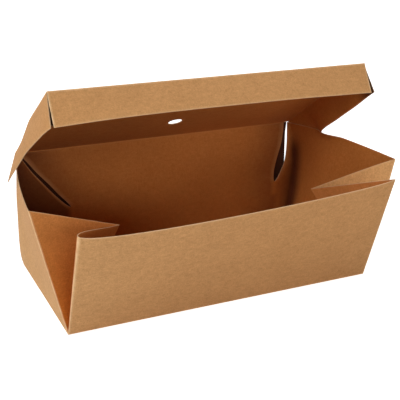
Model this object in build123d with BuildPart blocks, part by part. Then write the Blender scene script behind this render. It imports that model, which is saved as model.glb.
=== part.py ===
from build123d import *
from math import cos, radians, sin, sqrt
import os

# A hinged lid box folded from kraft card, standing open.
# Millimetres. X runs along the hinge, Y to the back, Z up. The origin is the middle of the
# underside of the base. Every point below lies on the middle of the card's thickness.

# the card and the blank
card = 0.5                      # thickness of the card
base_length = 210.0
base_depth = 110.0
hinge_height = 82.0             # height of the lid's crease above the table
front_height = 81.0             # front wall, measured up its slope
gusset_crease = 71.7            # diagonal fold of each front gusset, from the base corner to its tip
lid_depth = 111.7               # from the crease to the front edge of the lid
lid_rim = 21.3                  # height of the lid's front and side flaps
lid_overhang = 0.45             # the lid's panel is this much longer than the base at each end
hinge_gap = 0.4                 # card left off on each side of the crease line
vent_diameter = 10.0
vent_from_hinge = 31.0

# how the opened box stands: left end first, then right end
front_lean = (22.9, 18.5)       # front wall, degrees outwards
front_bend_run = (6.0, 10.0)    # bend points of its bowed top edge, from each end
front_bend_out = (10.0, 6.5)    # the same points, outwards
end_flare = (17.9, 19.5)        # top front corner of each end wall, outwards
end_set_back = (4.7, 0.6)       # the same corner, towards the back
end_belly = (1.7, 2.2)          # outward arc of the end wall's top edge
lid_angle = 33.4                # lid panel above the horizontal

# curved slits in the back wall, each from a hinge corner down to its end
slit_run = (36.3, 11.3)         # distance of the slit's end from the corner
slit_drop = (44.2, 48.0)        # depth of the slit's end below the crease
slit_gap = 1.7                  # width of the slit at the crease
ear_pull = ((17.0, 24.0), (-1.0, 42.0))     # bend point of the ear's edge, run and drop
wall_pull = ((20.5, 21.0), (1.9, 34.0))     # bend point of the back wall's edge, run and drop

# outer layer of the back, glued behind the slits, with its right edge cut back towards the crease
outer_cut_run = 2.1
outer_cut_drop = 58.0

# side flaps of the lid
flap_start = 2.0                # the flaps begin this far from the crease
left_flap_flare = 25.0          # degrees
left_bend_from_hinge = 80.0     # lower end of the left flap's diagonal bend
right_rear_flare = 27.0         # degrees, beside the hinge
right_front_flare = 2.0         # degrees, along the front half
right_bend_from_hinge = 27.0    # lower end of the right flap's diagonal bend
right_square_from_hinge = 59.0  # upper end of the same bend

# glue tabs at the ends of the lid's front flap
tab_length = 16.0
tab_top_cut = 1.5               # clear of the panel above
tab_taper = 8.0                 # rise of the lower edge at the free end
tab_clearance = 0.5             # between the tab and the side flap at the corner

half_length = base_length / 2
half_depth = base_depth / 2
half_card = card / 2
wall_top = hinge_height - hinge_gap
wall_height = wall_top - half_card      # end walls, from the middle of the base
fold_middle = gusset_crease * cos(radians(45))


def inwards(side):
    """Unit vector from an end wall to the inside; side is -1 at the left and 1 at the right."""
    return Vector(-side, 0, 0)


def meeting_point(foot, first, second, to_foot, to_first, to_second, towards):
    """Point at three given distances from three points, on the side that towards names."""
    along = (first - foot).normalized()
    reach = along.dot(second - foot)
    across = (second - foot - along * reach).normalized()
    width = across.dot(second - foot)
    normal = along.cross(across)
    if normal.dot(towards) < 0:
        normal = normal * -1
    span = (first - foot).length
    x = (to_foot**2 - to_first**2 + span**2) / (2 * span)
    y = (to_foot**2 - to_second**2 + reach**2 + width**2) / (2 * width) - reach / width * x
    z = sqrt(to_foot**2 - x**2 - y**2)
    return foot + along * x + across * y + normal * z


def add_panel(*corners):
    """Flat piece of card whose middle surface has the given corners and reaches past its folds."""
    first, second, third = corners[:3]
    panel_plane = Plane(origin=first, x_dir=second - first, z_dir=(second - first).cross(third - first))
    with BuildSketch(panel_plane) as panel:
        with BuildLine():
            Polyline(*[panel_plane.to_local_coords(corner) for corner in corners], close=True)
        make_face()
        offset(amount=half_card)
    extrude(panel.sketch, amount=half_card, both=True)


def edge_section(start, end, outwards, bends):
    """Strip of card as thick as the blank between two points, curved by its bend points (along, out)."""
    run = end - start
    section_plane = Plane(origin=start, x_dir=run, z_dir=run.cross(outwards))
    middle = [(0, 0), *bends, (run.length, 0)]
    outer = [(along, out + half_card) for along, out in middle]
    inner = [(along, out - half_card) for along, out in middle]
    with BuildSketch(section_plane) as section:
        with BuildLine():
            Bezier(*outer)
            Line(outer[-1], inner[-1])
            Bezier(*reversed(inner))
            Line(inner[0], outer[0])
        make_face()
    return section.sketch.face()


def front_bends(share):
    """Bend points of the front wall: all the way out along its top at a share of 1, none at its foot."""
    left_bend = (front_bend_run[0], share * front_bend_out[0])
    right_bend = (base_length - front_bend_run[1], share * front_bend_out[1])
    return [left_bend, right_bend]


def slit_edge(side, end, start_run, pull):
    """Curved edge of a slit in the back wall's plane, from the crease down to its end."""
    return Bezier(
        (side * (half_length - start_run), hinge_height),
        (side * (half_length - pull[0]), hinge_height - pull[1]),
        (side * (half_length - slit_run[end]), hinge_height - slit_drop[end]),
    )


back_face = Plane(origin=(0, half_depth, 0), x_dir=(1, 0, 0), z_dir=(0, -1, 0))
outer_face = back_face.offset(-half_card)
ends = ((-1, 0), (1, 1))

# points that the folds of the front gussets share
base_corners = []
front_tops = []
end_tops = []
gusset_tips = []
for side, end in ends:
    base_corner = Vector(side * half_length, -half_depth, half_card)
    lean = radians(front_lean[end])
    front_top = base_corner + Vector(0, -front_height * sin(lean), front_height * cos(lean))
    rise = sqrt(wall_height**2 - end_flare[end] ** 2 - end_set_back[end] ** 2)
    end_top = base_corner + Vector(side * end_flare[end], end_set_back[end], rise)
    # in the flat blank the gusset is a square with its fold along the diagonal
    gusset_tip = meeting_point(
        base_corner,
        end_top,
        front_top,
        gusset_crease,
        sqrt(fold_middle**2 + (wall_height - fold_middle) ** 2),
        sqrt(fold_middle**2 + (front_height - fold_middle) ** 2),
        inwards(side),
    )
    base_corners.append(base_corner)
    front_tops.append(front_top)
    end_tops.append(end_top)
    gusset_tips.append(gusset_tip)

with BuildPart() as tray:
    # base
    with BuildSketch() as base_outline:
        Rectangle(base_length, base_depth)
    extrude(base_outline.sketch, amount=card)
    # back wall with a curved slit beside each rear corner
    with BuildSketch(back_face) as back_outline:
        with Locations((0, wall_top / 2)):
            Rectangle(base_length, wall_top)
        for side, end in ends:
            with BuildLine():
                ear_edge = slit_edge(side, end, 0.0, ear_pull[end])
                wall_edge = slit_edge(side, end, slit_gap, wall_pull[end])
                Line(wall_edge @ 0, ear_edge @ 0)
            make_face(mode=Mode.SUBTRACT)
    extrude(back_outline.sketch, amount=half_card, both=True)
    # outer layer of the back, face to face with the inner one
    with BuildSketch(outer_face) as outer_outline:
        with BuildLine():
            Polyline(
                (-half_length, 0),
                (half_length, 0),
                (half_length, hinge_height - outer_cut_drop),
                (half_length - outer_cut_run, wall_top),
                (-half_length, wall_top),
                close=True,
            )
        make_face()
    extrude(outer_outline.sketch, amount=-card)
    # end walls, upright at the back and leaning out at the front
    for side, end in ends:
        outwards = Vector(side, 0, 0)
        rear_foot = Vector(side * half_length, half_depth, half_card)
        rear_top = Vector(side * half_length, half_depth, wall_top)
        foot_section = edge_section(base_corners[end], rear_foot, outwards, [(half_depth, 0)])
        top_section = edge_section(end_tops[end], rear_top, outwards, [(half_depth, 2 * end_belly[end])])
        loft([foot_section, top_section], ruled=True)
    # front wall, leaning out more at one end than at the other and bowed along its top edge
    lean = radians(sum(front_lean) / 2)
    out_and_down = Vector(0, -cos(lean), -sin(lean))
    foot_section = edge_section(*base_corners, Vector(0, -1, 0), front_bends(0))
    top_section = edge_section(*front_tops, out_and_down, front_bends(1))
    loft([foot_section, top_section], ruled=True)
    # gussets folded inwards at the front corners
    for side, end in ends:
        add_panel(base_corners[end], end_tops[end], gusset_tips[end])
        add_panel(base_corners[end], gusset_tips[end], front_tops[end])
    split(bisect_by=Plane.XY, keep=Keep.TOP)
tray.part.label = "tray"

# the lid's own plane lies in its panel: local X along the crease, local Y back to the crease
tilt = radians(lid_angle)
lid_plane = Plane(origin=(0, half_depth, hinge_height), x_dir=(1, 0, 0), z_dir=(0, sin(tilt), cos(tilt)))
half_lid = half_length + lid_overhang


def rim_point(side, from_hinge, down=0.0, flare=0.0):
    """Point on a side flap of the lid, at a distance from the crease and down the flap."""
    outwards = down * sin(radians(flare))
    below = down * cos(radians(flare))
    return lid_plane.from_local_coords(Vector(side * (half_lid + outwards), -from_hinge, -below))


def tab_point(side, from_hinge, down):
    """Point on a glue tab, inside the side flap by the card's thickness and a clearance."""
    inset = card + tab_clearance
    return lid_plane.from_local_coords(Vector(side * (half_lid - inset), -from_hinge, -down))


with BuildPart() as lid:
    # top panel with its vent
    with BuildSketch(lid_plane) as lid_outline:
        with Locations((0, -(lid_depth + hinge_gap) / 2)):
            Rectangle(2 * half_lid, lid_depth - hinge_gap)
        with Locations((0, -vent_from_hinge)):
            Circle(vent_diameter / 2, mode=Mode.SUBTRACT)
    extrude(lid_outline.sketch, amount=half_card, both=True)
    # front flap
    left_corner = rim_point(-1, lid_depth)
    right_corner = rim_point(1, lid_depth)
    left_foot = rim_point(-1, lid_depth, lid_rim)
    right_foot = rim_point(1, lid_depth, lid_rim, right_front_flare)
    add_panel(left_corner, right_corner, rim_point(1, lid_depth, lid_rim), left_foot)
    # left side flap, flared, with a diagonal bend up to the glued front corner
    left_bend = rim_point(-1, left_bend_from_hinge, lid_rim, left_flap_flare)
    left_rear = rim_point(-1, flap_start, lid_rim, left_flap_flare)
    add_panel(rim_point(-1, flap_start), left_corner, left_bend, left_rear)
    add_panel(left_bend, left_corner, left_foot)
    # right side flap, flared beside the hinge, with a diagonal bend to its square front half
    right_turn = rim_point(1, right_square_from_hinge)
    right_rear = rim_point(1, flap_start, lid_rim, right_rear_flare)
    right_bend = rim_point(1, right_bend_from_hinge, lid_rim, right_rear_flare)
    right_half = rim_point(1, right_square_from_hinge, lid_rim, right_front_flare)
    add_panel(rim_point(1, flap_start), right_turn, right_bend, right_rear)
    add_panel(right_bend, right_turn, right_half)
    add_panel(right_turn, right_corner, right_foot, right_half)
    # glue tabs, folded back from the front flap inside the side flaps
    for side in (-1, 1):
        tab_start = lid_depth - half_card
        tab_end = lid_depth - tab_length
        add_panel(
            tab_point(side, tab_start, tab_top_cut),
            tab_point(side, tab_end, tab_top_cut),
            tab_point(side, tab_end, lid_rim - tab_taper),
            tab_point(side, tab_start, lid_rim - half_card),
        )
lid.part.label = "lid"

os.makedirs("parts", exist_ok=True)
export_step(tray.part, "parts/tray.step")
export_step(lid.part, "parts/lid.step")
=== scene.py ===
import math

import bmesh
import bpy
import numpy as np
from mathutils import Matrix


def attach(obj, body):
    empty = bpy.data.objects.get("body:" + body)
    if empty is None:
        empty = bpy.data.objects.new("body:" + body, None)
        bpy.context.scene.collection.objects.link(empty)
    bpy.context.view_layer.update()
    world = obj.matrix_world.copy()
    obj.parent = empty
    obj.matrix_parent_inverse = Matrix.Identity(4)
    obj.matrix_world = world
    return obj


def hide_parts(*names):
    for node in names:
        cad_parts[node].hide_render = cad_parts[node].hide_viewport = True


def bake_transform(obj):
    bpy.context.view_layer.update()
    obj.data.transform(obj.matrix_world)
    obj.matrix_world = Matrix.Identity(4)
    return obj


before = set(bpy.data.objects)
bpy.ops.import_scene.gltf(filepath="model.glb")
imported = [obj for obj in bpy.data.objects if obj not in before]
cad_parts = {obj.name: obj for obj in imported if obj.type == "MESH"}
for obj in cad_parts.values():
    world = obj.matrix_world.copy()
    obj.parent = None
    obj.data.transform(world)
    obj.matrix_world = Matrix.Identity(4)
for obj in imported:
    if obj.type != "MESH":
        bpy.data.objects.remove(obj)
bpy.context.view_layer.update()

mm = 0.001

# the card blank, in metres, on the middle of the card's thickness
blank = dict(
    card=0.5 * mm,
    length=210.0 * mm,
    depth=110.0 * mm,
    hingeHeight=82.0 * mm,
    frontHeight=81.0 * mm,        # up the slope of the front wall
    gussetCrease=71.7 * mm,       # base corner to gusset tip
    lidDepth=111.7 * mm,
    lidRim=21.3 * mm,
    lidOverhang=0.45 * mm,
    hingeGap=0.4 * mm,            # card left off on each side of the crease line
    foldBand=0.4 * mm,            # half width of a rounded fold
    foldRest=0.9 * mm,            # from the fold to where its card is flat again
    mostShare=(0.12, 0.25),       # most of a narrow row that those two may take
    nextMark=0.45,                # wear on the grid line beside a fold or an edge, which has 1
    warp=0.30 * mm,               # slow waves in the big panels
    warpRim=(0.12, 0.15),         # share of a panel along which they rise from its borders
    mesh=3.6 * mm,                # spacing of the grids before subdivision
    weld=0.01 * mm,               # borders nearer than this are one
    sharpAngle=50.0,              # degrees, past which an edge is shaded sharp
    slot="kraft_card",
)
halfLength = blank["length"] / 2
halfDepth = blank["depth"] / 2
halfCard = blank["card"] / 2
wallTop = blank["hingeHeight"] - blank["hingeGap"]
wallHeight = wallTop - halfCard
halfLid = halfLength + blank["lidOverhang"]
ends = ((-1, 0), (1, 1))          # side and place in a pair: left end, then right end


def unit(v):
    return v / np.linalg.norm(v)


def point(x, y, z):
    return np.array([x, y, z], float)


def mix(a, b, t):
    return a + (b - a) * t        # straight blend


# smooth step: 0 below 0, 1 above 1, and 3x^2 - 2x^3 between
def ease(x):
    x = np.clip(x, 0.0, 1.0)
    return x * x * (3 - 2 * x)


# smooth step from 0 at start to 1 at end
def ramp(x, start, end):
    return ease((x - start) / (end - start))


# exp(-((x - middle) / width)^2)
def bell(x, middle, width):
    return np.exp(-(((x - middle) / width) ** 2))


# smooth curve through knots (x, y): a cubic between each two, whose slope at a knot comes from its
# two neighbours; level beyond the ends
def through(x, knots):
    knotX, knotY = np.array(knots, float).T
    slope = np.gradient(knotY, knotX)
    x = np.clip(x, knotX[0], knotX[-1])
    i = np.clip(np.searchsorted(knotX, x, side="right") - 1, 0, len(knotX) - 2)
    width = knotX[i + 1] - knotX[i]
    t = (x - knotX[i]) / width
    rise = t * t * (3 - 2 * t)
    return (
        mix(knotY[i], knotY[i + 1], rise)
        + t * (1 - t) ** 2 * width * slope[i]
        - t * t * (1 - t) * width * slope[i + 1]
    )


# the same for knots in millimetres, from metres to metres
def throughMm(x, knots):
    return through(x / mm, knots) * mm


# even stations from start to end, about a step apart
def spread(start, end, step=blank["mesh"]):
    count = max(2, int(round(abs(end - start) / step)) + 1)
    return np.linspace(start, end, count)


# even stations with two more beside each end, where a fold or an edge is rounded
def banded(start, end, step=blank["mesh"]):
    band, rest = (math.copysign(blank[key], end - start) for key in ("foldBand", "foldRest"))
    return np.concatenate([
        [start, start + band], spread(start + rest, end - rest, step), [end - band, end]])


# shares from 0 to 1 across an array of widths: two lines at each side and even steps between
def bandedShare(width, count):
    band, rest = (
        np.minimum(most, blank[key] / np.maximum(width, 1e-9))[:, None]
        for key, most in zip(("foldBand", "foldRest"), blank["mostShare"]))
    shares = rest + (1 - 2 * rest) * np.linspace(0, 1, count)[None, :]
    return np.concatenate([0 * band, band, shares, 1 - band, 1 + 0 * band], axis=1)


# slow wave over a panel: the product of two sines, whose wave counts and shift are given, that is
# 0 on the panel's borders
def slowWave(u, v, wavesU, wavesV, shift):
    rimU, rimV = blank["warpRim"]
    rim = ease(u / rimU) * ease((1 - u) / rimU) * ease(v / rimV) * ease((1 - v) / rimV)
    across = np.sin(2 * np.pi * (wavesU * u + shift))
    return blank["warp"] * rim * across * np.sin(2 * np.pi * (wavesV * v + 0.6 * shift))


# two masks on a grid, folds and cut edges: 1 on a border of that kind and less on the line beside
# it; bottom and top are the first and last row, left and right the first and last column
def rimMarks(rows, cols, **sides):
    marks = {"fold": np.zeros((rows, cols)), "cut": np.zeros((rows, cols))}
    lines = {"bottom": (0, 1), "top": (-1, -2), "left": (0, 1), "right": (-1, -2)}    # border, next
    for side, kind in sides.items():
        for line, value in zip(lines[side], (1.0, blank["nextMark"])):
            grid = marks[kind]
            where = (line, slice(None)) if side in ("bottom", "top") else (slice(None), line)
            grid[where] = np.maximum(grid[where], value)
    return marks


toneKeys = ("paintedShade", "paintedOutsideShade", "paintedBounce", "paintedLight")


# a grid with its masks and tones from 0 to 1, all four painted: painted shade in the dark inside of
# a corner, painted shade on an outside that lies in the dark, painted bounce light that turns a
# gusset's outside a darker orange, and painted light that makes the card paler where more falls
def panel(points, tones=(), **sides):
    shape = points.shape[:2]
    given = dict(tones)
    masks = {key: np.broadcast_to(given.get(key, 0.0), shape) for key in toneKeys}
    return dict(points=points, skip=None, **masks, **rimMarks(*shape, **sides))


# joins grids of points, each (rows, columns, 3), into one sheet: a quad between four neighbours,
# borders that coincide merged, and the faces turned so that their summed area looks outside
def sheetMesh(name, panels, outside):
    points, faces, offset = [], [], 0
    masks = {key: [] for key in ("fold", "cut", *toneKeys)}
    for grid in panels:
        rows, cols = grid["points"].shape[:2]
        index = offset + np.arange(rows * cols).reshape(rows, cols)
        quads = np.stack([index[:-1, :-1], index[:-1, 1:], index[1:, 1:], index[1:, :-1]], axis=-1)
        keep = np.ones(quads.shape[:2], bool) if grid["skip"] is None else ~grid["skip"]
        faces.append(quads[keep].reshape(-1, 4))
        points.append(grid["points"].reshape(-1, 3))
        for key in masks:
            masks[key].append(grid[key].ravel())
        offset += rows * cols
    mesh = bpy.data.meshes.new(name)
    mesh.from_pydata(np.concatenate(points).tolist(), [], np.concatenate(faces).tolist())
    for key, values in masks.items():
        layer = mesh.attributes.new(key, "FLOAT", "POINT")
        layer.data.foreach_set("value", np.concatenate(values).astype(np.float32))
    work = bmesh.new()
    work.from_mesh(mesh)
    bmesh.ops.remove_doubles(work, verts=work.verts, dist=blank["weld"])
    unused = [v for v in work.verts if not v.link_faces]       # the points inside skipped cells
    bmesh.ops.delete(work, geom=unused, context="VERTS")
    bmesh.ops.recalc_face_normals(work, faces=work.faces)
    work.to_mesh(mesh)
    work.free()
    area = np.empty(len(mesh.polygons), np.float32)
    normal = np.empty(len(mesh.polygons) * 3, np.float32)
    mesh.polygons.foreach_get("area", area)
    mesh.polygons.foreach_get("normal", normal)
    if area @ normal.reshape(-1, 3) @ np.array(outside) < 0:
        mesh.flip_normals()
    return mesh


# a sheet given its thickness: subdivided by levels, so that folds are round, and thickened half to
# each side; the inside takes the second material and the narrow faces of the cut edges the third
def cardPiece(name, panels, materials, outside, levels=1):
    sheet = bpy.data.objects.new(name + "Sheet", sheetMesh(name + "Sheet", panels, outside))
    bpy.context.scene.collection.objects.link(sheet)
    for material in materials:
        sheet.data.materials.append(material)
    smooth = sheet.modifiers.new("folds", "SUBSURF")
    smooth.levels = smooth.render_levels = levels
    smooth.boundary_smooth = "PRESERVE_CORNERS"
    thick = sheet.modifiers.new("card", "SOLIDIFY")
    thick.thickness = blank["card"]
    thick.offset = 0
    thick.use_rim = True
    thick.material_offset = 1
    thick.material_offset_rim = 2
    bpy.context.view_layer.update()
    solid = sheet.evaluated_get(bpy.context.evaluated_depsgraph_get())
    mesh = bpy.data.meshes.new_from_object(solid)
    mesh.name = name
    bpy.data.objects.remove(sheet)
    mesh.polygons.foreach_set("use_smooth", np.ones(len(mesh.polygons), bool))
    mesh.set_sharp_from_angle(angle=math.radians(blank["sharpAngle"]))
    piece = bpy.data.objects.new(name, mesh)
    bpy.context.scene.collection.objects.link(piece)
    print(name, "triangles", len(mesh.loops) - 2 * len(mesh.polygons))
    return piece


# Materials

pulp = dict(
    noises=dict(          # scale, stretch and turn of the pattern, its detail and roughness
        mottle=(42, (1, 1, 1), (0, 0, 0), 4, 0.6),
        clouds=(400, (0.6, 1, 1), (0, 0, 0.02), 4, 0.55),
        lengthways=(700, (0.35, 1, 1), (0, 0.3, 0.25), 3, 0.7),
        crossways=(800, (1, 0.8, 0.35), (0.4, 0.2, -0.5), 3, 0.7),
        specks=(1300, (1, 1, 1), (0.3, 0.1, 0), 2, 0.5),
    ),
    contrast=dict(mottle=4.0, clouds=4.0, fibres=5.0, specks=5.0),
    raised=dict(fibres=0.6, specks=0.4),          # shares of the height
)
rub = dict(scale=130, detail=5, patchy=(0.3, 0.7), least=0.45)    # noise that breaks up the rubbing and the painted fold highlight


def socketOf(group, name, inOut="INPUT"):
    socket = group.interface.new_socket(name=name, in_out=inOut, socket_type="NodeSocketFloat")
    if inOut == "INPUT":
        socket.default_value = 0.5


# output of a math node; each input is a number or the output of another node
def mathNode(tree, operation, a, b):
    node = tree.nodes.new("ShaderNodeMath")
    node.operation = operation
    for socket, value in zip(node.inputs, (a, b)):
        if isinstance(value, (int, float)):
            socket.default_value = value
        else:
            tree.links.new(value, socket)
    return node.outputs[0]


# paper pulp: broad mottling, clouds drawn out along the length, short fibres lying two ways and
# fine specks, as a tone from -1 to 1 and a height
def fibreGroup():
    group = bpy.data.node_groups.new("pulpGrain", "ShaderNodeTree")
    for key in pulp["contrast"]:
        socketOf(group, key.capitalize())
    socketOf(group, "Tone", "OUTPUT")
    socketOf(group, "Height", "OUTPUT")
    nodes, links = group.nodes, group.links
    given, put = nodes.new("NodeGroupInput"), nodes.new("NodeGroupOutput")
    where = nodes.new("ShaderNodeTexCoord")

    def noise(key):
        scale, stretch, turn, detail, roughness = pulp["noises"][key]
        place = nodes.new("ShaderNodeMapping")
        place.inputs["Scale"].default_value = stretch
        place.inputs["Rotation"].default_value = turn
        pattern = nodes.new("ShaderNodeTexNoise")
        pattern.inputs["Scale"].default_value = scale
        pattern.inputs["Detail"].default_value = detail
        pattern.inputs["Roughness"].default_value = roughness
        links.new(where.outputs["Object"], place.inputs["Vector"])
        links.new(place.outputs["Vector"], pattern.inputs["Vector"])
        return pattern.outputs["Fac"]

    layers = dict(
        mottle=noise("mottle"), clouds=noise("clouds"),
        fibres=mathNode(group, "MAXIMUM", noise("lengthways"), noise("crossways")),
        specks=noise("specks"))
    tone = height = 0.0
    for key, pattern in layers.items():
        centred = mathNode(group, "SUBTRACT", pattern, 0.5)
        layer = mathNode(group, "MULTIPLY", centred, pulp["contrast"][key])
        part = mathNode(group, "MULTIPLY", layer, given.outputs[key.capitalize()])
        tone = mathNode(group, "ADD", tone, part)
        if key in pulp["raised"]:
            part = mathNode(group, "MULTIPLY", layer, pulp["raised"][key])
            height = mathNode(group, "ADD", height, part)
    links.new(tone, put.inputs["Tone"])
    links.new(height, put.inputs["Height"])
    return group


# rubbed folds and edges, worn paler, with a painted highlight along the folds: the two masks of the
# sheet, broken up by a noise, as one mask
def wearGroup():
    group = bpy.data.node_groups.new("foldWearAndHighlight", "ShaderNodeTree")
    socketOf(group, "Folds")
    socketOf(group, "Edges")
    socketOf(group, "Mask", "OUTPUT")
    nodes, links = group.nodes, group.links
    given, put = nodes.new("NodeGroupInput"), nodes.new("NodeGroupOutput")
    where = nodes.new("ShaderNodeTexCoord")
    patchy = nodes.new("ShaderNodeTexNoise")
    patchy.inputs["Scale"].default_value = rub["scale"]
    patchy.inputs["Detail"].default_value = rub["detail"]
    links.new(where.outputs["Object"], patchy.inputs["Vector"])
    soften = nodes.new("ShaderNodeMapRange")
    for key, value in zip(("From Min", "From Max", "To Min"), (*rub["patchy"], rub["least"])):
        soften.inputs[key].default_value = value
    links.new(patchy.outputs["Fac"], soften.inputs["Value"])
    wearAndHighlight = []
    for key, amount in (("fold", "Folds"), ("cut", "Edges")):
        mark = nodes.new("ShaderNodeAttribute")
        mark.attribute_name = key
        wearAndHighlight.append(mathNode(group, "MULTIPLY", mark.outputs["Fac"], given.outputs[amount]))
    either = mathNode(group, "MAXIMUM", *wearAndHighlight)
    mask = mathNode(group, "MULTIPLY", either, soften.outputs["Result"])
    mask.node.use_clamp = True
    links.new(mask, put.inputs["Mask"])
    return group


pulpGrain = fibreGroup()
foldWearAndHighlight = wearGroup()

outerLook = dict(
    name="kraftOutside",
    dark=(0.330, 0.153, 0.047), light=(0.690, 0.355, 0.137), wearAndHighlight=(0.92, 0.64, 0.36),
    # tints of painted shade on an outside in the dark, painted bounce light on a gusset, painted
    # light
    tones=dict(paintedOutsideShade=(0.12, 0.07, 0.05), paintedBounce=(1.02, 0.57, 0.12), paintedLight=(1.36, 1.70, 2.20)),
    mottle=0.13, clouds=0.20, fibres=0.34, specks=0.24, folds=1.0, edges=0.4,
    rough=(0.70, 0.88), bump=0.045 * mm,
)
# inside face, darker and more saturated than the outside: partly the card's own inner colour and
# partly painted shade of the box's dim inside; its tints are painted shade and painted light
innerLook = dict(
    name="kraftInside",
    dark=(0.430, 0.132, 0.020), light=(0.660, 0.243, 0.054), wearAndHighlight=(0.70, 0.36, 0.15),
    tones=dict(paintedShade=(0.15, 0.08, 0.05), paintedLight=(1.25, 1.40, 1.90)),
    mottle=0.24, clouds=0.26, fibres=0.34, specks=0.24, folds=0.35, edges=0.6,
    rough=(0.74, 0.90), bump=0.050 * mm,
)
behindShadeLook = dict(        # the second layer's face, seen only through the slits, painted near black as shade
    innerLook, name="kraftBehindPaintedShade",
    dark=(0.045, 0.010, 0.002), light=(0.075, 0.020, 0.005), folds=0.0, edges=0.0,
)
cutLook = dict(
    name="kraftCutEdge",
    dark=(0.50, 0.28, 0.13), light=(0.76, 0.50, 0.28), wearAndHighlight=(0.84, 0.60, 0.36),
    # painted shade on cut edges in the dark inside of a corner
    tones=dict(paintedShade=(0.20, 0.12, 0.08)),
    mottle=0.10, clouds=0.10, fibres=0.30, specks=0.20, folds=0.2, edges=0.3,
    rough=(0.80, 0.95), bump=0.06 * mm,
)
bumpStrength, cardSpecular = 0.6, 0.25


# kraft card: the pulp tone picks a colour between dark and light, each tone mask multiplies it by
# its own tint of painted shade, painted bounce light or painted light, and rubbed folds go paler,
# as wear and as a painted highlight
def cardMaterial(look):
    material = bpy.data.materials.new(look["name"])
    material.use_nodes = True
    nodes, links = material.node_tree.nodes, material.node_tree.links
    shader = nodes["Principled BSDF"]
    shader.inputs["Specular IOR Level"].default_value = cardSpecular
    grain = nodes.new("ShaderNodeGroup")
    grain.node_tree = pulpGrain
    for key in pulp["contrast"]:
        grain.inputs[key.capitalize()].default_value = look[key]
    wear = nodes.new("ShaderNodeGroup")
    wear.node_tree = foldWearAndHighlight
    for key in ("folds", "edges"):
        wear.inputs[key.capitalize()].default_value = look[key]
    share = nodes.new("ShaderNodeMapRange")
    share.inputs["From Min"].default_value = -1
    share.inputs["From Max"].default_value = 1
    links.new(grain.outputs["Tone"], share.inputs["Value"])
    colour = nodes.new("ShaderNodeMix")
    colour.data_type = "RGBA"
    colour.inputs["A"].default_value = (*look["dark"], 1)
    colour.inputs["B"].default_value = (*look["light"], 1)
    links.new(share.outputs["Result"], colour.inputs["Factor"])
    for key, tint in look["tones"].items():
        mask = nodes.new("ShaderNodeAttribute")
        mask.attribute_name = key
        toned = nodes.new("ShaderNodeMix")
        toned.data_type = "RGBA"
        toned.blend_type = "MULTIPLY"
        toned.inputs["B"].default_value = (*tint, 1)
        links.new(mask.outputs["Fac"], toned.inputs["Factor"])
        links.new(colour.outputs["Result"], toned.inputs["A"])
        colour = toned
    wearAndHighlight = nodes.new("ShaderNodeMix")
    wearAndHighlight.data_type = "RGBA"
    wearAndHighlight.inputs["B"].default_value = (*look["wearAndHighlight"], 1)
    links.new(wear.outputs["Mask"], wearAndHighlight.inputs["Factor"])
    links.new(colour.outputs["Result"], wearAndHighlight.inputs["A"])
    links.new(wearAndHighlight.outputs["Result"], shader.inputs["Base Color"])
    rough = nodes.new("ShaderNodeMapRange")
    for key, value in zip(("From Min", "From Max", "To Max", "To Min"), (-1, 1, *look["rough"])):
        rough.inputs[key].default_value = value
    links.new(grain.outputs["Tone"], rough.inputs["Value"])
    links.new(rough.outputs["Result"], shader.inputs["Roughness"])
    relief = nodes.new("ShaderNodeBump")
    relief.inputs["Strength"].default_value = bumpStrength
    relief.inputs["Distance"].default_value = look["bump"]
    links.new(grain.outputs["Height"], relief.inputs["Height"])
    links.new(relief.outputs["Normal"], shader.inputs["Normal"])
    return material


outside, inside, behindShade, cutEdge = (
    cardMaterial(look) for look in (outerLook, innerLook, behindShadeLook, cutLook))
cardFinish, backFinish = (outside, inside, cutEdge), (outside, behindShade, cutEdge)
print("materials ready")

# Lid settings, which the tray's end walls need too: in the knots, distances from the crease in
# millimetres and angles in degrees

lid = dict(
    angle=33.4,                           # panel above the horizontal
    ventDiameter=10.0 * mm,
    ventFromHinge=31.0 * mm,
    ventPatch=9.0 * mm,                   # half side of the grid cell round the vent
    ventMesh=3.0 * mm, ventSides=6,       # grid spacing near the vent, quads along that cell's side
    ventRings=(0, 0.12, 0.5, 1.0),        # rings of the patch, from the vent's edge to the cell
    wave=(1.5, 1.0, 0.4),                 # wave counts of the panel and their shift
    edgeLift=((0, 0), (24, -0.3), (42, 1.2), (57, 2.5), (72, 2.0), (85, 1.25), (111.7, 0)),
    liftFade=32.0 * mm,                   # distance in which that rise of the left edge fades
    paintedShade=(0.46, 0.06),                    # painted shade on the panel's underside, its share at its left and right
    frontSwing=13.5, frontSwingPower=3.6,     # front flap outwards at mid length, none at its ends
    cornerFrom=0.84, cornerCurve=0.6,     # right end of the front flap's lower edge, drawn in
    cornerInset=1.1 * mm, cornerShort=0.8 * mm,
    flapFlare=(                           # turn of each side flap outwards
        ((2, 23.8), (22, 23.9), (37, 21), (50, 17.9), (64, 15.3),
         (76, 13.8), (87, 12.2), (97, 10.4), (105, 7.8), (111.7, 4.6)),
        ((2, 30), (24, 29), (30, 21), (36, 10), (42, 5),
         (60, 4.6), (74, 3), (84, 2.8), (99, 4.2), (111.7, 6.2)),
    ),
    flapSetBack=(0.7 * mm, 1.2 * mm),     # front edge of each side flap, behind the front flap
    flapSetBackFrom=100.0 * mm, flapSetBackFall=1.5 * mm,
    flapShort=(0.0, 1.3 * mm), flapShortFrom=82.0 * mm,       # lower edge rising to its front end
    cornerPaintedShade=(0.5, 1.0), cornerPaintedShadeFrom=(92 * mm, 107 * mm),    # painted shade inside its front end
    # the glue tab's tones are painted shade, inside and outside
    tabLength=16.0 * mm, tabMesh=3.0 * mm, tabTones=dict(paintedShade=0.5, paintedOutsideShade=1.0),
    tabInset=1.0 * mm, tabInsetRun=1.6 * mm,
    tabTopCut=1.5 * mm, tabTopCutRun=1.2 * mm, tabTaper=8.0 * mm,
)
tilt = math.radians(lid["angle"])
lidNormal = point(0, math.sin(tilt), math.cos(tilt))
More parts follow.
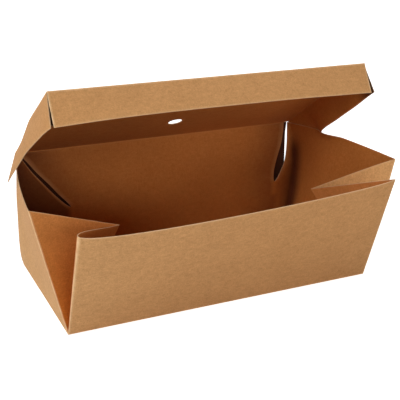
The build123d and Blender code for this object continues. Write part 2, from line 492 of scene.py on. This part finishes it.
lidForward = point(0, -math.cos(tilt), math.sin(tilt))
hinge = point(0, halfDepth, blank["hingeHeight"])

# Tray: in the knots, heights, distances and widths in millimetres; pairs are left end, right end

tray = dict(
    frontLean=(22.9, 18.5),               # front wall, degrees outwards
    frontBendRun=(6.0 * mm, 10.0 * mm),   # bend points of its bowed top edge, from each end
    frontBendOut=(11.2 * mm, 5.8 * mm),
    frontSamples=400,                     # points of that curve
    frontWave=(1.4, 1.0, 0.65),
    frontPaintedLight=0.22, frontFootShade=0.16,       # painted light at the front wall's left end and painted shade at its right foot
    endFlare=(17.9 * mm, 19.5 * mm),      # top front corner of each end wall, outwards
    endSetBack=(4.7 * mm, 0.6 * mm),
    endBelly=(2.3 * mm, 3.6 * mm),        # outward arc of the end wall's top edge
    endRaise=(0.5 * mm, 1.3 * mm),        # card above the crease's level, away from the hinge
    endRaiseRun=0.35,                     # share of the wall over which it rises
    endWave=((1.3, 1.0, 0.15), (1.3, 1.0, 0.55)),
    endPaintedLight=(0.5, 0.0),                   # painted light at the foot of each end wall
    flapGap=(1.0 * mm, 1.0 * mm),         # middle of the end wall to middle of the lid's side flap
    flapFree=(1.5, 3.0),                  # how freely it widens below the flap, and away from it
    slitRun=(36.3 * mm, 11.3 * mm),       # end of each slit from the corner
    slitDrop=(44.2 * mm, 48.0 * mm),      # and below the crease
    earLeast=0.35 * mm,                   # least width of the ear, and of the gap beside it
    earEdge=(                             # height, and the ear's free edge from the corner
        ((37.8, 36.3), (40.4, 32.5), (44.1, 28.9), (48.2, 25.1), (54, 20.2),
         (60, 15.4), (67, 9.8), (75, 4.6), (82, 0.3)),
        ((34, 11.3), (35.6, 11.0), (36.8, 9.6), (40.2, 7.2), (44, 5.3),
         (47.9, 3.4), (51.8, 2.1), (60, 0.9), (68, 0.4), (82, 0.3)),
    ),
    wallEdge=(                            # height, and the back wall's edge from the corner
        ((37.8, 36.3), (41.1, 34.1), (47.7, 28.0), (55.6, 22.0), (62.5, 16.1),
         (66.3, 12.9), (70, 10.2), (74.5, 6.9), (79, 3.4), (82, 1)),
        ((34, 11.7), (37.6, 11.4), (44, 10.3), (50.4, 9.1), (56.7, 7.3),
         (61.3, 5.8), (67.5, 4.4), (75.5, 3.6), (82, 3.4)),
    ),
    earForward=(                          # height, and how far the ear's edge comes forwards
        ((0, 0), (15, 0.8), (30, 2.4), (37.8, 3.4), (48, 3.2), (60, 2.4), (72, 1.2), (82, 0)),
        ((0, 0), (12, 0.8), (25, 2.0), (34, 2.6), (45, 2.4), (60, 1.5), (75, 0.5), (82, 0)),
    ),
    earFade=22.0 * mm,                    # run over which the back wall loses that push
    slitCalm=9.0 * mm,                    # and height above the slit's end
    earPaintedShade=((1.0, 0.72), (0.4, 0.0)),    # painted shade on each ear, from the corner to the slit
    earFoot=0.82,                         # share of that tone at the foot
    earEdgeTone=0.25,                     # share of that tone on the cut edge
    cornerOut=(                           # height, and how far the rear corner stands out
        ((0, 0), (5, 1.4), (15, 2.3), (27, 2.5), (39, 2.3),
         (53, 2.0), (63, 1.2), (71, 0.5), (82, 0)),
        ((0, 0), (8, 3.4), (21.5, 6.2), (34, 7.6), (47, 8.0),
         (60, 6.9), (73.5, 4.2), (82, 0)),
    ),
    cornerReach=(30.0 * mm, 26.0 * mm),   # how far forwards that is felt
    cornerRound=(1.4 * mm, 4.5 * mm),     # how widely the corner is rounded at mid height
    cornerFullness=0.6,                   # below 1, nearly as widely towards its foot and top
    cornerPaintedShade=(0.9, 1.0), cornerPaintedShadeTop=0.3,         # painted shade: a dark upright band in each rear corner
    cornerShift=1.5 * mm, cornerBand=8.0 * mm,
    wallWave=(1.6, 1.0, 0.3),             # wave counts and shift, as for the end and front walls
    wallPaintedShade=(0.58, 0.42),                # painted shade on the back wall beside each slit
    wallPaintedShadeReach=(0.16, 0.2),            # share of the wall that it takes up
    wallPaintedShadeRise=(2.0, 0.0),              # power of its growth with height
    wallShade=0.26, wallShadeReach=0.6, wallShadeRise=2.5,        # fainter painted shade at the top left, under the lid
    gussetBow=((0.0, 11.0 * mm), (4.0 * mm, 0.6 * mm)),   # each half, beside the end and front wall
    gussetArch=((0.0, 0.0), (0.004, 0.0)),    # rise of each half's top edge, a share of its height
    gussetPaintedBounce=((1.0, 0.60), (0.3, 0.3)),     # painted bounce light that turns each gusset's outside a darker orange, at its foot and top
    # painted light, paler card, on each gusset
    gussetPaintedLight=(0.0, 0.75),
    gussetLines=16,
    layerGap=0.05 * mm,                   # between the two layers of the back
    outerCutRun=0.7 * mm, outerCutDrop=58.0 * mm,     # right edge of the outer layer, cut back
    outerStandOff=(2.2 * mm, 1.6 * mm),   # outer layer off the back, behind each slit
    outerLoose=(48.0 * mm, 26.0 * mm), outerFade=12.0 * mm,       # run of that from each end
    outerRise=(0.3, 0.12),                # share of its height over which it leaves foot and top
)


# the point at given distances from three points, on the side of their plane that towards names
def tripodPoint(foot, first, second, toFoot, toFirst, toSecond, towards):
    along = unit(first - foot)
    reach = along @ (second - foot)
    across = unit(second - foot - along * reach)
    width = across @ (second - foot)
    normal = np.cross(along, across)
    normal = normal * (1 if normal @ towards > 0 else -1)
    span = np.linalg.norm(first - foot)
    x = (toFoot**2 - toFirst**2 + span**2) / (2 * span)
    y = (toFoot**2 - toSecond**2 + reach**2 + width**2) / (2 * width) - reach / width * x
    return foot + along * x + across * y + normal * math.sqrt(toFoot**2 - x**2 - y**2)


corners, frontTops, endTops, tips = [], [], [], []
foldMiddle = blank["gussetCrease"] * math.cos(math.radians(45))
for side, end in ends:
    corner = point(side * halfLength, -halfDepth, halfCard)
    lean = math.radians(tray["frontLean"][end])
    frontTop = corner + blank["frontHeight"] * point(0, -math.sin(lean), math.cos(lean))
    flare, setBack = tray["endFlare"][end], tray["endSetBack"][end]
    endTop = corner + point(side * flare, setBack, math.sqrt(wallHeight**2 - flare**2 - setBack**2))
    # in the flat blank the gusset is a square with its fold along the diagonal
    toEnd = math.hypot(foldMiddle, wallHeight - foldMiddle)
    toFront = math.hypot(foldMiddle, blank["frontHeight"] - foldMiddle)
    inwards = point(-side, 0, 0)
    tips.append(tripodPoint(
        corner, endTop, frontTop, blank["gussetCrease"], toEnd, toFront, inwards))
    corners.append(corner)
    frontTops.append(frontTop)
    raised = wallHeight + tray["endRaise"][end]
    up = math.sqrt(raised**2 - flare**2 - setBack**2)
    endTops.append(corner + point(side * flare, setBack, up))

# rows shared by every wall, as shares of its height, with rows at both slits' ends
slitEnds = [(blank["hingeHeight"] - drop - halfCard) / wallHeight for drop in tray["slitDrop"]]
band, rest, step = (blank[key] / wallHeight for key in ("foldBand", "foldRest", "mesh"))
low, high = min(slitEnds), max(slitEnds)
wallRows = np.concatenate([
    [0, band], spread(rest, low, step)[:-1], spread(low, high, step),
    spread(high, 1 - rest, step)[1:], [1 - band, 1]])
rowHeights = halfCard + wallRows * wallHeight


# the two legs of a corner rounded as a hyperbola: s runs along one leg, and the surface keeps
# (s + sqrt(s^2 + w^2)) / 2 along it and (-s + sqrt(s^2 + w^2)) / 2 across it, less what is left
# at the far end of the leg
def roundedLeg(s, full, width):
    root, rootEnd = np.sqrt(s**2 + width**2), np.sqrt(full**2 + width**2)
    rest = (rootEnd - full) / 2 * s / full
    return (s + root) / 2 - rest, (-s + root) / 2 - rest


# the widest x that clears the side flap at y and z: half the lid plus the drop below it times the
# tangent of the flare, less the gap, and wider the further the point is past the flap's edges
def insideFlap(end, y, z):
    back, rise = y - hinge[1], z - hinge[2]
    fromHinge = rise * math.sin(tilt) - back * math.cos(tilt)
    drop = -back * math.sin(tilt) - rise * math.cos(tilt)
    flare = np.radians(through(fromHinge / mm, lid["flapFlare"][end]))
    below = np.maximum(drop / np.cos(flare) - blank["lidRim"] - blank["card"], 0)
    away = np.maximum(-drop, 0) + np.maximum(-fromHinge, 0)
    clear = halfLid + np.clip(drop, 0, blank["lidRim"]) * np.tan(flare) - tray["flapGap"][end]
    return clear + tray["flapFree"][0] * below + tray["flapFree"][1] * away


# how widely a rear corner is rounded at a share v of its height: sin(pi v) to a power, times its
# width at mid height, and never quite 0
def cornerWidth(end, v):
    fullness = np.sin(np.pi * np.clip(v, 0, 1)) ** tray["cornerFullness"]
    return tray["cornerRound"][end] * fullness + 1e-6


# end wall at a distance run from the rear corner and a share v of its height: straight up from its
# foot to an arched top edge, each upright as long as the card is high, standing out at the corner
def endWall(side, end, run, v):
    height = halfCard + v * wallHeight
    ahead, inward = roundedLeg(run, blank["depth"], cornerWidth(end, v))
    share = np.clip(ahead / blank["depth"], 0, 1)
    out = tray["endFlare"][end] * share + 4 * tray["endBelly"][end] * share * (1 - share)
    back = tray["endSetBack"][end] * share
    tall = wallHeight + tray["endRaise"][end] * ease(share / tray["endRaiseRun"])
    up = np.sqrt(tall**2 - out**2 - back**2)
    stand = throughMm(height, tray["cornerOut"][end]) * bell(run, 0, tray["cornerReach"][end])
    x = halfLength - inward + v * out + stand + slowWave(share, v, *tray["endWave"][end])
    y, z = halfDepth - ahead + v * back, halfCard + v * up
    return np.stack([side * np.minimum(x, insideFlap(end, y, z)), y, z], axis=-1)


# ear at a share s from the rear corner to its free edge: along the back wall, rounded at the
# corner, its edge brought forwards
def earPanel(side, end, s, v, ear):
    height = halfCard + v * wallHeight
    stand = throughMm(height, tray["cornerOut"][end])
    full = stand + ear
    along, inward = roundedLeg(s * full, full, cornerWidth(end, v))
    ahead = throughMm(height, tray["earForward"][end]) * s
    x = side * (halfLength + stand - along)
    return np.stack([x, halfDepth - inward - ahead, np.broadcast_to(height, x.shape)], axis=-1)


endStations = banded(0.0, blank["depth"])
trayPanels = []
rowGrid = wallRows[:, None]
slitColumns, earShares = [], []
for side, end in ends:
    below = wallRows <= slitEnds[end] + 1e-9
    slitRun = tray["slitRun"][end]
    ear = np.maximum(throughMm(rowHeights, tray["earEdge"][end]), tray["earLeast"])
    wall = np.maximum(throughMm(rowHeights, tray["wallEdge"][end]), ear + tray["earLeast"])
    ear[below] = wall[below] = slitRun
    slitColumns.append(wall)
    shares = np.concatenate([[blank["foldBand"]], spread(blank["foldRest"], slitRun)]) / slitRun
    earShares.append(shares)
    outer = endWall(side, end, endStations[None, :], rowGrid)[:, ::-1]
    inner = earPanel(side, end, shares[None, :], rowGrid, ear[:, None])
    corner = np.concatenate([outer, inner], axis=1)
    fromCorner = np.concatenate([endStations[::-1], -shares * slitRun])[None, :]
    # painted shade in the rear corner's hollow and on the ear
    dark = bell(fromCorner, tray["cornerShift"], tray["cornerBand"])
    dark = dark * ease((1 - rowGrid) / tray["cornerPaintedShadeTop"])
    onEar = np.concatenate([np.zeros(outer.shape[1]), mix(*tray["earPaintedShade"][end], shares)])[None, :]
    paintedShade = np.maximum(tray["cornerPaintedShade"][end] * dark, onEar * mix(tray["earFoot"], 1, rowGrid))
    paintedShade[:, -1] *= tray["earEdgeTone"]
    # painted light at the end wall's foot
    tones = dict(paintedShade=paintedShade, paintedLight=tray["endPaintedLight"][end] * (fromCorner > 0) * (1 - rowGrid))
    grid = panel(corner, tones, bottom="fold", top="cut", left="fold")
    grid["cut"][~below, -1] = 1
    trayPanels.append(grid)

# middle of the back wall, between the slits; below a slit it takes the ear's push
middleLength = blank["length"] - sum(tray["slitRun"])
wallShares = np.linspace(0, 1, int(round(middleLength / blank["mesh"])) + 1)
leftX = -halfLength + slitColumns[0]
rightX = halfLength - slitColumns[1]
x = leftX[:, None] + (rightX - leftX)[:, None] * wallShares[None, :]
wave = slowWave(wallShares[None, :], rowGrid, *tray["wallWave"])
y = np.full_like(x, halfDepth) - wave**2 / blank["warp"]          # inwards only
for side, end in ends:
    push = throughMm(rowHeights, tray["earForward"][end])[:, None]
    fromSlit = halfLength - side * x - tray["slitRun"][end]
    aboveSlit = (rowGrid - slitEnds[end]) * wallHeight
    y = y - push * ease(1 - fromSlit / tray["earFade"]) * ease(1 - aboveSlit / tray["slitCalm"])
middleWall = np.stack([x, y, halfCard + np.broadcast_to(rowGrid, x.shape) * wallHeight], axis=-1)
# painted shade on the back wall: under the lid at the top left, and beside each slit
fromLeft = wallShares[None, :]
faint = tray["wallShade"] * ease(1 - fromLeft / tray["wallShadeReach"])
paintedShade = faint * rowGrid ** tray["wallShadeRise"]
for (side, end), fromSlit in zip(ends, (fromLeft, 1 - fromLeft)):
    beside = ease(1 - fromSlit / tray["wallPaintedShadeReach"][end])
    paintedShade = paintedShade + tray["wallPaintedShade"][end] * beside * rowGrid ** tray["wallPaintedShadeRise"][end]
grid = panel(middleWall, dict(paintedShade=np.minimum(paintedShade, 1)), bottom="fold", top="fold")
for column, end in ((0, 0), (-1, 1)):
    grid["cut"][wallRows > slitEnds[end] + 1e-9, column] = 1
trayPanels.append(grid)

# outer layer of the back, glued on but loose behind the slits, its right edge cut back towards
# the crease
outerY = halfDepth + blank["card"] + tray["layerGap"]
outerV = banded(0.0, wallTop) / wallTop
drop = blank["hingeHeight"] - outerV * wallTop
cutBack = tray["outerCutRun"] * np.clip(1 - drop / tray["outerCutDrop"], 0, 1)
outerShares = banded(0.0, blank["length"]) / blank["length"]
outerX = -halfLength + outerShares[None, :] * (blank["length"] - cutBack[:, None])
outerZ = np.broadcast_to((outerV * wallTop)[:, None], outerX.shape)
offBack = np.zeros_like(outerX)
for side, end in ends:
    fromEdge = side * outerX + tray["outerLoose"][end] - halfLength
    offBack = offBack + tray["outerStandOff"][end] * ease(fromEdge / tray["outerFade"])
loose = ease(outerV / tray["outerRise"][0]) * ease((1 - outerV) / tray["outerRise"][1])
outerLayer = np.stack([outerX, outerY + offBack * loose[:, None], outerZ], axis=-1)
backPanels = [panel(outerLayer, bottom="cut", top="fold", left="cut", right="cut")]
print("walls ready")

# base, with the columns and rows of the walls' feet
leftEarX = -halfLength + earShares[0] * tray["slitRun"][0]
rightEarX = halfLength - earShares[1][::-1] * tray["slitRun"][1]
middleX = mix(leftX[0], rightX[0], wallShares[1:-1])
columns = np.concatenate([[-halfLength], leftEarX, middleX, rightEarX, [halfLength]])
gridX, gridY = np.meshgrid(columns, halfDepth - endStations[::-1])
base = np.stack([gridX, gridY, np.full_like(gridX, halfCard)], axis=-1)
trayPanels.append(panel(base, bottom="fold", top="fold", left="fold", right="fold"))

# front wall: straight up from its foot to a top edge that is bowed outwards by a cubic curve,
# whose bend points are the settings
q = np.linspace(0, 1, tray["frontSamples"])
leftShare, rightShare = 3 * q * (1 - q) ** 2, 3 * q**2 * (1 - q)
leftRun, rightRun = tray["frontBendRun"]
bowX = leftShare * leftRun + rightShare * (blank["length"] - rightRun) + q**3 * blank["length"]
bowOut = leftShare * tray["frontBendOut"][0] + rightShare * tray["frontBendOut"][1]
bow = np.interp(columns + halfLength, bowX, bowOut)
lean = math.radians(sum(tray["frontLean"]) / 2)
outAndDown = point(0, -math.cos(lean), -math.sin(lean))
across = ((columns + halfLength) / blank["length"])[None, :]
foot = mix(corners[0], corners[1], across[..., None])
top = mix(frontTops[0], frontTops[1], across[..., None]) + bow[None, :, None] * outAndDown
front = mix(foot, top, rowGrid[..., None])
front = front + slowWave(across, rowGrid, *tray["frontWave"])[..., None] * outAndDown
# painted light towards the left end, painted shade along the right foot
tones = dict(
    paintedLight=tray["frontPaintedLight"] * (1 - across) ** 2 * np.ones_like(rowGrid),
    paintedOutsideShade=tray["frontFootShade"] * across * (1 - rowGrid) ** 2)
trayPanels.append(panel(front, tones, bottom="fold", top="cut", left="fold", right="fold"))

# gussets: rays from the base corner, each half between two folds and bowed away from the front
# by sqrt(t) (1 - t)^2, its top edge arched by 4 t (1 - t), t from the wall to the tip
for side, end in ends:
    halves = zip((endTops[end], frontTops[end]), tray["gussetBow"][end], tray["gussetArch"][end])
    for far, bow, arch in halves:
        toFar, toTip = far - corners[end], tips[end] - corners[end]
        shares = bandedShare(wallRows * np.linalg.norm(toFar - toTip), tray["gussetLines"])
        stretch = 1 + 4 * arch * shares * (1 - shares)
        rays = mix(toFar, toTip, shares[..., None]) * stretch[..., None]
        normal = unit(np.cross(toFar, toTip))
        normal = normal * (1 if normal[1] > 0 else -1)
        sag = bow * np.sqrt(shares) * (1 - shares) ** 2 * wallRows[:, None]
        half = corners[end] + wallRows[:, None, None] * rays + sag[..., None] * normal
        # painted bounce light and painted light on the gusset
        paintedBounce = mix(*tray["gussetPaintedBounce"][end], wallRows)[:, None]
        tones = dict(paintedBounce=paintedBounce, paintedLight=tray["gussetPaintedLight"][end])
        trayPanels.append(panel(half, tones, top="cut", left="fold", right="fold"))

trayCard = cardPiece("trayCard", trayPanels, cardFinish, outside=(0, 0, -1))
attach(trayCard, "tray")
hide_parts("tray")
backLayer = cardPiece("backLayer", backPanels, backFinish, outside=(0, 1, 0))
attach(backLayer, "tray")

# Lid panels

# a point in the lid's own plane: x along the crease, then forwards from it, then above the panel
def lidPoint(x, fromHinge, above):
    x, fromHinge, above = (v[..., None] for v in np.broadcast_arrays(x, fromHinge, above))
    return hinge + x * point(1, 0, 0) + fromHinge * lidForward + above * lidNormal


# rise of the panel: the left edge's own curve, fading as exp(-distance / fade), and slow waves
def lidLift(x, fromHinge):
    edge = throughMm(fromHinge, lid["edgeLift"]) * np.exp(-(x + halfLid) / lid["liftFade"])
    across, out = (x + halfLid) / (2 * halfLid), fromHinge / blank["lidDepth"]
    return edge + slowWave(across, out, *lid["wave"])


# share of painted shade across the panel: a smooth step from its left to its right value
def lidPaintedShade(x):
    return dict(paintedShade=mix(*lid["paintedShade"], ease((x + halfLid) / (2 * halfLid))))


lidPanels = []
hole, fine = lid["ventPatch"], lid["ventMesh"]
fromCrease = lid["ventFromHinge"]
lidColumns = np.concatenate([
    banded(-halfLid, -hole)[:-3], spread(-hole, hole, fine), banded(halfLid, hole)[:-3][::-1]])
lidRows = np.concatenate([
    banded(blank["hingeGap"], fromCrease - hole)[:-3],
    spread(fromCrease - hole, fromCrease + hole, fine),
    banded(blank["lidDepth"], fromCrease + hole)[:-3][::-1]])
gridX, gridD = np.meshgrid(lidColumns, lidRows)
top = panel(
    lidPoint(gridX, gridD, lidLift(gridX, gridD)), lidPaintedShade(gridX),
    bottom="fold", top="fold", left="fold", right="fold")
centreX = (lidColumns[:-1] + lidColumns[1:]) / 2
centreD = (lidRows[:-1] + lidRows[1:]) / 2
top["skip"] = (np.abs(centreX)[None, :] < hole) & (np.abs(centreD - fromCrease)[:, None] < hole)
lidPanels.append(top)

# patch round the vent: straight blends from the circle out to the square cell, a quad ring per step
count = lid["ventSides"]
side, edge = np.linspace(-hole, hole, count + 1), np.full(count, hole)
loop = np.concatenate([
    np.stack([side[:-1], -edge], 1), np.stack([edge, side[:-1]], 1),
    np.stack([side[:0:-1], edge], 1), np.stack([-edge, side[:0:-1]], 1)])
loop = np.concatenate([loop, loop[:1]])
circle = loop / np.linalg.norm(loop, axis=1)[:, None] * lid["ventDiameter"] / 2
patch = mix(circle[None], loop[None], np.array(lid["ventRings"])[:, None, None])
patchX, patchD = patch[..., 0], patch[..., 1] + fromCrease
patch = lidPoint(patchX, patchD, lidLift(patchX, patchD))
lidPanels.append(panel(patch, lidPaintedShade(patchX), bottom="cut"))

# front flap, swung outwards by an angle that is flat along the middle: 1 - |2u - 1| to a power
fall = banded(0, blank["lidRim"])[:, None]
share = fall / blank["lidRim"]
along = ((lidColumns + halfLid) / (2 * halfLid))[None, :]
swing = math.radians(lid["frontSwing"]) * (1 - np.abs(2 * along - 1) ** lid["frontSwingPower"])
hang = fall * (1 - lid["cornerShort"] / blank["lidRim"] * ramp(along, lid["cornerFrom"], 1))
drawnIn = lid["cornerInset"] * share ** lid["cornerCurve"]         # at the right corner
flapX = lidColumns[None, :] * (1 - drawnIn / halfLid * (lidColumns > 0))
flap = lidPoint(flapX, blank["lidDepth"] + hang * np.sin(swing), -hang * np.cos(swing))
lidPanels.append(panel(flap, bottom="fold", top="cut", left="fold", right="fold"))

stations = lidRows[None, :]
for side, end in ends:
    # side flap: hangs from the panel's edge and turns outwards by an angle that changes along it
    angle = np.radians(through(stations / mm, lid["flapFlare"][end]))
    setBack = lid["flapSetBack"][end] * ramp(stations, lid["flapSetBackFrom"], blank["lidDepth"])
    place = stations - setBack * ease(fall / lid["flapSetBackFall"])
    short = lid["flapShort"][end] * ramp(stations, lid["flapShortFrom"], blank["lidDepth"])
    hang = fall * (1 - short / blank["lidRim"])
    lift = lidLift(np.full_like(place, side * halfLid), place)
    flap = lidPoint(side * (halfLid + hang * np.sin(angle)), place, lift - hang * np.cos(angle))
    shade = dict(paintedShade=lid["cornerPaintedShade"][end] * ramp(stations, *lid["cornerPaintedShadeFrom"]))
    lidPanels.append(panel(flap, shade, bottom="fold", top="cut", left="cut", right="cut"))
    # glue tab behind it, folded back from the front flap, painted in shade
    back = banded(0, lid["tabLength"], lid["tabMesh"])[None, :]
    tabX = side * (halfLid - end * drawnIn - lid["tabInset"] * ease(back / lid["tabInsetRun"]))
    tabTop = lid["tabTopCut"] * ease(back / lid["tabTopCutRun"])
    tabFoot = blank["lidRim"] - end * lid["cornerShort"] - lid["tabTaper"] * back / lid["tabLength"]
    tab = lidPoint(tabX, blank["lidDepth"] - back, -mix(tabTop, tabFoot, share))
    lidPanels.append(panel(tab, lid["tabTones"], bottom="cut", top="cut", left="fold", right="cut"))

lidCard = cardPiece("lidCard", lidPanels, cardFinish, outside=lidNormal)
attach(lidCard, "lid")
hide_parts("lid")

# Crease strip between the back wall and the lid: a bend of card through (1 - t)^2, 2t (1 - t) and
# t^2 of the wall's top, the crease line and the lid's edge

crease = dict(rows=9)
t = np.linspace(0, 1, crease["rows"])[:, None]
start, finish = point(0, halfDepth, wallTop), hinge + blank["hingeGap"] * lidForward
bend = (1 - t) ** 2 * start + 2 * t * (1 - t) * hinge + t**2 * finish
creaseX = leftX[-1] + (rightX[-1] - leftX[-1]) * wallShares
strip = panel(bend[:, None, :] + creaseX[None, :, None] * point(1, 0, 0), bottom="fold", top="fold")
hingeCrease = cardPiece("hingeCrease", [strip], cardFinish, outside=(0, 1, 0), levels=0)
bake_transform(hingeCrease)
print("lid ready")

# Camera, as in the photograph

view = dict(
    place=(-0.21988, -0.48766, 0.24770),
    right=(0.9086, -0.4178, 0.0069),
    forward=(0.3944, 0.8520, -0.3445),
    lens=75.7, sensor=36.0, nearest=0.01,
)
cameraData = bpy.data.cameras.new("camera")
cameraData.lens = view["lens"]
cameraData.sensor_width = view["sensor"]
cameraData.clip_start = view["nearest"]
camera = bpy.data.objects.new("camera", cameraData)
bpy.context.scene.collection.objects.link(camera)
forward = unit(np.array(view["forward"]))
right = unit(np.array(view["right"]) - forward * (forward @ np.array(view["right"])))
up = np.cross(right, forward)
turned = np.eye(4)
turned[:3, 0], turned[:3, 1], turned[:3, 2], turned[:3, 3] = right, up, -forward, view["place"]
camera.matrix_world = Matrix(turned.tolist())
bpy.context.scene.camera = camera

# Floor, world and lamps

studio = dict(
    floorSize=8.0, floorColour=(0.86, 0.86, 0.86), floorRough=0.9, floorSpecular=0.1,
    floorGlow=0.75, glowReach=(0.35, 1.2),    # near the box, and metres over which it turns white
    ambient=0.0,                              # light of the world on the object
    aim=(0, 0, 0.06), distance=1.7,
    lamps=(          # turn from the front towards the right and height, in degrees; size and power
        dict(name="leftSoft", turn=-60, height=22, size=(0.8, 0.5), power=10.7),
        dict(name="leftHigh", turn=-100, height=40, size=(0.8, 0.5), power=10.6),
        dict(name="backHigh", turn=120, height=60, size=(0.9, 0.9), power=9.5),
        dict(name="rightSoft", turn=60, height=40, size=(0.8, 0.5), power=4.2),
        dict(name="frontLow", turn=0, height=11, size=(0.8, 0.5), power=4.8),
        dict(name="frontRight", turn=30, height=6, size=(0.8, 0.5), power=3.8),
    ),
)


# 1 for camera, glossy and transmission rays, and 0 for the light that surfaces exchange
def seenDirectly(tree):
    path = tree.nodes.new("ShaderNodeLightPath")
    mirrored = mathNode(
        tree, "MAXIMUM", path.outputs["Is Glossy Ray"], path.outputs["Is Transmission Ray"])
    return mathNode(tree, "MAXIMUM", path.outputs["Is Camera Ray"], mirrored)


# pale matte paper that adds a glow only where the camera, a mirror or glass sees it; the glow
# rises to plain white with the distance from the box
def floorMaterial():
    material = bpy.data.materials.new("studioPaper")
    material.use_nodes = True
    tree = material.node_tree
    shader = tree.nodes["Principled BSDF"]
    shader.inputs["Base Color"].default_value = (*studio["floorColour"], 1)
    shader.inputs["Roughness"].default_value = studio["floorRough"]
    shader.inputs["Specular IOR Level"].default_value = studio["floorSpecular"]
    shader.inputs["Emission Color"].default_value = (1, 1, 1, 1)
    where = tree.nodes.new("ShaderNodeTexCoord")
    distance = tree.nodes.new("ShaderNodeVectorMath")
    distance.operation = "LENGTH"
    tree.links.new(where.outputs["Object"], distance.inputs[0])
    glow = tree.nodes.new("ShaderNodeMapRange")
    limits = (*studio["glowReach"], studio["floorGlow"], 1.0)
    for key, value in zip(("From Min", "From Max", "To Min", "To Max"), limits):
        glow.inputs[key].default_value = value
    tree.links.new(distance.outputs["Value"], glow.inputs["Value"])
    strength = mathNode(tree, "MULTIPLY", seenDirectly(tree), glow.outputs["Result"])
    tree.links.new(strength, shader.inputs["Emission Strength"])
    return material


floorMesh = bpy.data.meshes.new("studioFloor")
far = studio["floorSize"] / 2
square = [(-far, -far, 0), (far, -far, 0), (far, far, 0), (-far, far, 0)]
floorMesh.from_pydata(square, [], [(0, 1, 2, 3)])
floorMesh.materials.append(floorMaterial())
floor = bpy.data.objects.new("studioFloor", floorMesh)
bpy.context.scene.collection.objects.link(floor)

world = bpy.data.worlds.new("studioWorld")
bpy.context.scene.world = world
world.use_nodes = True
sky = world.node_tree.nodes["Background"]
sky.inputs["Color"].default_value = (1, 1, 1, 1)
strength = world.node_tree.nodes.new("ShaderNodeMapRange")
strength.inputs["To Min"].default_value = studio["ambient"]
world.node_tree.links.new(seenDirectly(world.node_tree), strength.inputs["Value"])
world.node_tree.links.new(strength.outputs["Result"], sky.inputs["Strength"])

for lamp in studio["lamps"]:
    lampData = bpy.data.lights.new(lamp["name"], "AREA")
    lampData.shape = "RECTANGLE"
    lampData.size, lampData.size_y = lamp["size"]
    lampData.energy = lamp["power"]
    light = bpy.data.objects.new(lamp["name"], lampData)
    bpy.context.scene.collection.objects.link(light)
    turn, height = math.radians(lamp["turn"]), math.radians(lamp["height"])
    level = math.cos(height)
    away = point(math.sin(turn) * level, -math.cos(turn) * level, math.sin(height))
    sideways = unit(np.cross((0, 0, 1), away))
    turned = np.eye(4)
    turned[:3, 0], turned[:3, 1], turned[:3, 2] = sideways, np.cross(away, sideways), away
    turned[:3, 3] = np.array(studio["aim"]) + studio["distance"] * away
    light.matrix_world = Matrix(turned.tolist())

bpy.context.scene.view_settings.view_transform = "Standard"
print("studio ready")
